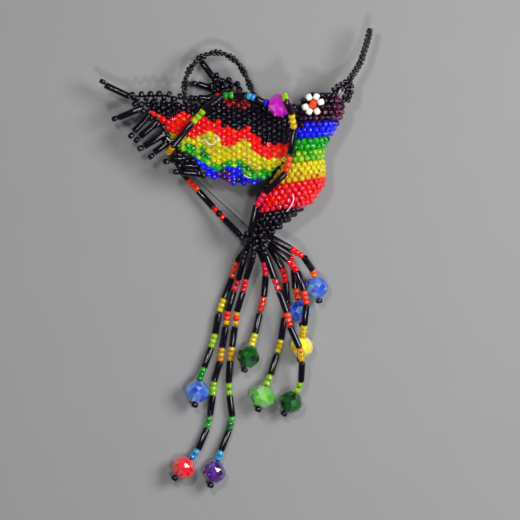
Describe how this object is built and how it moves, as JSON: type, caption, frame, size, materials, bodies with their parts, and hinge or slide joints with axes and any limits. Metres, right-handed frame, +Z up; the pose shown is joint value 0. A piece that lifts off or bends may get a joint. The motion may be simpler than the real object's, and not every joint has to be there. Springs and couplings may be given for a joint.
{
  "type": "beaded hummingbird ornament",
  "caption": "Beaded hummingbird ornament: rainbow seed-bead body and wings, flower eyes, hanging loop and tassel strands of bugle beads ending in faceted crystals.",
  "frame": {"origin": "middle of the bottom of the object's box, on the surface it lies on", "axes": "+Z up off the surface, +Y from the tassel ends to the tip of the beak, +X from the wing tips to the breast"},
  "size_m": [0.0731, 0.124, 0.0223],
  "materials": {
    "black_glass": "gloss",
    "plum_glass": "gloss",
    "blue_glass": "gloss",
    "green_glass": "gloss",
    "lime_glass": "gloss",
    "yellow_glass": "gloss",
    "orange_glass": "gloss",
    "red_glass": "gloss",
    "white_pearl": "pearl gloss",
    "blue_crystal": "cut and polished",
    "red_crystal": "cut and polished",
    "purple_crystal": "cut and polished",
    "dark_green_crystal": "cut and polished",
    "light_green_crystal": "cut and polished",
    "yellow_crystal": "cut and polished",
    "pink_crystal": "cut and polished",
    "white_thread": "woven nylon"
  },
  "bodies": {
    "bird_body": {"tail_base": "black_glass", "rump": "black_glass", "belly_red": "red_glass", "breast_yellow": "yellow_glass", "breast_lime": "lime_glass", "throat_green": "green_glass", "throat_blue": "blue_glass", "head": "plum_glass", "beak": "black_glass", "eye_near_petals": "white_pearl", "eye_near_centre": "orange_glass", "eye_far_petals": "white_pearl", "eye_far_centre": "orange_glass"},
    "near_wing": {"near_wing_black": "black_glass", "near_wing_red": "red_glass", "near_wing_yellow": "yellow_glass", "near_wing_green": "green_glass", "near_wing_blue": "blue_glass", "near_wing_fringe": "black_glass", "strand_over_wing": "black_glass"},
    "far_wing": {"far_wing_black": "black_glass", "far_wing_red": "red_glass", "far_wing_yellow": "yellow_glass", "far_wing_green": "green_glass", "far_wing_blue": "blue_glass", "far_wing_fringe": "black_glass"},
    "hanging_loop": {"hanging_loop": "black_glass"},
    "strand_1_upper": {"strand_1_upper": "black_glass"},
    "strand_1_lower": {"strand_1_lower": "black_glass"},
    "strand_2_upper": {"strand_2_upper": "black_glass"},
    "strand_2_lower": {"strand_2_lower": "black_glass"},
    "strand_3_upper": {"strand_3_upper": "black_glass"},
    "strand_3_lower": {"strand_3_lower": "black_glass"},
    "strand_4_upper": {"strand_4_upper": "black_glass"},
    "strand_4_lower": {"strand_4_lower": "black_glass"},
    "strand_5_upper": {"strand_5_upper": "black_glass"},
    "strand_5_lower": {"strand_5_lower": "black_glass"},
    "strand_6_upper": {"strand_6_upper": "black_glass"},
    "strand_6_lower": {"strand_6_lower": "black_glass"},
    "strand_7": {"strand_7": "black_glass"},
    "strand_8_upper": {"strand_8_upper": "black_glass"},
    "strand_8_lower": {"strand_8_lower": "black_glass"},
    "strand_9": {"strand_9": "black_glass"},
    "strand_over_body_upper": {"strand_over_body_upper": "black_glass"},
    "strand_over_body_lower": {"strand_over_body_lower": "black_glass"},
    "strand_under_wing": {"strand_under_wing": "black_glass"},
    "strand_1_crystal": {"strand_1_crystal": "blue_crystal"},
    "strand_2_crystal": {"strand_2_crystal": "red_crystal"},
    "strand_3_crystal": {"strand_3_crystal": "purple_crystal"},
    "strand_4_crystal": {"strand_4_crystal": "dark_green_crystal"},
    "strand_5_crystal": {"strand_5_crystal": "light_green_crystal"},
    "strand_6_crystal": {"strand_6_crystal": "dark_green_crystal"},
    "strand_7_crystal": {"strand_7_crystal": "yellow_crystal"},
    "strand_8_crystal": {"strand_8_crystal": "blue_crystal"},
    "strand_9_crystal": {"strand_9_crystal": "blue_crystal"},
    "strand_over_wing_crystal": {"strand_over_wing_crystal": "pink_crystal"}
  },
  "joints": [
    {"name": "near_wing_flap", "type": "hinge", "parent": "bird_body", "child": "near_wing", "pos_m": [0.01432, 0.03017, 0.01291], "axis": [0, 1, 0], "range_deg": [0, 10]},
    {"name": "far_wing_flap", "type": "hinge", "parent": "bird_body", "child": "far_wing", "pos_m": [0.01262, 0.03317, 0.00341], "axis": [0, 1, 0], "range_deg": [-20, 4]},
    {"name": "loop_swing", "type": "hinge", "parent": "bird_body", "child": "hanging_loop", "pos_m": [0.01312, 0.03877, 0.00761], "axis": [0, 0, 1], "range_deg": [-3, 3]},
    {"name": "strand_1_swing", "type": "hinge", "parent": "bird_body", "child": "strand_1_upper", "pos_m": [0.00322, 0.00337, 0.00361], "axis": [0, 0, 1], "range_deg": [-14, 0]},
    {"name": "strand_1_knee", "type": "hinge", "parent": "strand_1_upper", "child": "strand_1_lower", "pos_m": [-0.00468, -0.01453, 0.00111], "axis": [-0.9595, 0.2816, 0], "range_deg": [0, 35]},
    {"name": "strand_2_lift", "type": "hinge", "parent": "bird_body", "child": "strand_2_upper", "pos_m": [0.00312, 0.00377, 0.00571], "axis": [-0.9653, 0.2612, 0], "range_deg": [0, 20]},
    {"name": "strand_2_knee", "type": "hinge", "parent": "strand_2_upper", "child": "strand_2_lower", "pos_m": [-0.00278, -0.01803, 0.00111], "axis": [-0.9664, 0.257, 0], "range_deg": [0, 35]},
    {"name": "strand_3_lift", "type": "hinge", "parent": "bird_body", "child": "strand_3_upper", "pos_m": [0.00482, 0.00367, 0.00761], "axis": [-0.9735, 0.2288, 0], "range_deg": [0, 30]},
    {"name": "strand_3_knee", "type": "hinge", "parent": "strand_3_upper", "child": "strand_3_lower", "pos_m": [-0.00028, -0.01803, 0.00191], "axis": [-0.9912, 0.1323, 0], "range_deg": [0, 35]},
    {"name": "strand_4_swing", "type": "hinge", "parent": "bird_body", "child": "strand_4_upper", "pos_m": [0.00612, 0.00277, 0.00461], "axis": [0, 0, 1], "range_deg": [0, 5]},
    {"name": "strand_4_knee", "type": "hinge", "parent": "strand_4_upper", "child": "strand_4_lower", "pos_m": [0.00642, -0.01453, 0.00121], "axis": [-0.9695, 0.245, 0], "range_deg": [0, 30]},
    {"name": "strand_5_swing", "type": "hinge", "parent": "bird_body", "child": "strand_5_upper", "pos_m": [0.00882, 0.00357, 0.00261], "axis": [0, 0, 1], "range_deg": [-4, 0]},
    {"name": "strand_5_knee", "type": "hinge", "parent": "strand_5_upper", "child": "strand_5_lower", "pos_m": [0.01102, -0.02563, 0.00131], "axis": [-0.942, 0.3357, 0], "range_deg": [0, 30]},
    {"name": "strand_6_lift", "type": "hinge", "parent": "bird_body", "child": "strand_6_upper", "pos_m": [0.00702, 0.00357, 0.00781], "axis": [-0.9453, -0.3262, 0], "range_deg": [0, 30]},
    {"name": "strand_6_knee", "type": "hinge", "parent": "strand_6_upper", "child": "strand_6_lower", "pos_m": [0.01782, -0.02773, 0.00661], "axis": [-0.9819, 0.1893, 0], "range_deg": [0, 30]},
    {"name": "strand_7_swing", "type": "hinge", "parent": "bird_body", "child": "strand_7", "pos_m": [0.00882, 0.00437, 0.00671], "axis": [0, 0, 1], "range_deg": [-3, 0]},
    {"name": "strand_8_lift", "type": "hinge", "parent": "bird_body", "child": "strand_8_upper", "pos_m": [0.00832, 0.00647, 0.00991], "axis": [-0.5119, -0.859, 0], "range_deg": [0, 35]},
    {"name": "strand_8_knee", "type": "hinge", "parent": "strand_8_upper", "child": "strand_8_lower", "pos_m": [0.01822, 0.00057, 0.00861], "axis": [-0.8703, -0.4926, 0], "range_deg": [0, 30]},
    {"name": "strand_9_swing", "type": "hinge", "parent": "bird_body", "child": "strand_9", "pos_m": [0.00942, 0.00427, 0.00461], "axis": [0, 0, 1], "range_deg": [0, 2]},
    {"name": "strand_over_body_lift", "type": "hinge", "parent": "bird_body", "child": "strand_over_body_upper", "pos_m": [0.00382, 0.00707, 0.01011], "axis": [0.891, -0.454, 0], "range_deg": [0, 25]},
    {"name": "strand_over_body_knee", "type": "hinge", "parent": "strand_over_body_upper", "child": "strand_over_body_lower", "pos_m": [0.01452, 0.02807, 0.01551], "axis": [0.9959, 0.0905, 0], "range_deg": [0, 25]},
    {"name": "strand_under_wing_lift", "type": "hinge", "parent": "bird_body", "child": "strand_under_wing", "pos_m": [0.00212, 0.00517, 0.00841], "axis": [0.7619, 0.6477, 0], "range_deg": [0, 10]},
    {"name": "strand_1_crystal_spin", "type": "hinge", "parent": "strand_1_lower", "child": "strand_1_crystal", "pos_m": [-0.01059, -0.03587, 0.00346], "axis": [-0.1687, -0.9786, 0.1181], "continuous": true},
    {"name": "strand_2_crystal_spin", "type": "hinge", "parent": "strand_2_lower", "child": "strand_2_crystal", "pos_m": [-0.01429, -0.05642, 0.00334], "axis": [-0.6362, -0.7634, 0.1113], "continuous": true},
    {"name": "strand_3_crystal_spin", "type": "hinge", "parent": "strand_3_lower", "child": "strand_3_crystal", "pos_m": [-0.00598, -0.05761, 0.00326], "axis": [-0.265, -0.9607, 0.0828], "continuous": true},
    {"name": "strand_4_crystal_spin", "type": "hinge", "parent": "strand_4_lower", "child": "strand_4_crystal", "pos_m": [0.00327, -0.0265, 0.00317], "axis": [-0.2837, -0.9574, 0.0532], "continuous": true},
    {"name": "strand_5_crystal_spin", "type": "hinge", "parent": "strand_5_lower", "child": "strand_5_crystal", "pos_m": [0.00703, -0.03719, 0.00366], "axis": [-0.2954, -0.9518, 0.0821], "continuous": true},
    {"name": "strand_6_crystal_spin", "type": "hinge", "parent": "strand_6_lower", "child": "strand_6_crystal", "pos_m": [0.01472, -0.03863, 0.00336], "axis": [-0.4991, -0.8651, 0.0499], "continuous": true},
    {"name": "strand_7_crystal_spin", "type": "hinge", "parent": "strand_7", "child": "strand_7_crystal", "pos_m": [0.01763, -0.02367, 0.00328], "axis": [-0.0978, -0.9458, -0.3098], "continuous": true},
    {"name": "strand_8_crystal_spin", "type": "hinge", "parent": "strand_8_lower", "child": "strand_8_crystal", "pos_m": [0.02175, -0.00768, 0.00325], "axis": [0.1755, -0.9831, -0.0527], "continuous": true},
    {"name": "strand_9_crystal_spin", "type": "hinge", "parent": "strand_9", "child": "strand_9_crystal", "pos_m": [0.01723, -0.01408, 0.00326], "axis": [0.1697, -0.9842, 0.0509], "continuous": true},
    {"name": "strand_over_wing_crystal_spin", "type": "hinge", "parent": "near_wing", "child": "strand_over_wing_crystal", "pos_m": [0.01189, 0.04156, 0.01661], "axis": [0.9918, -0.124, 0.031], "continuous": true}
  ],
  "couplings": [
    {"joint": "strand_under_wing_lift", "follows": "near_wing_flap", "ratio": 1}
  ]
}
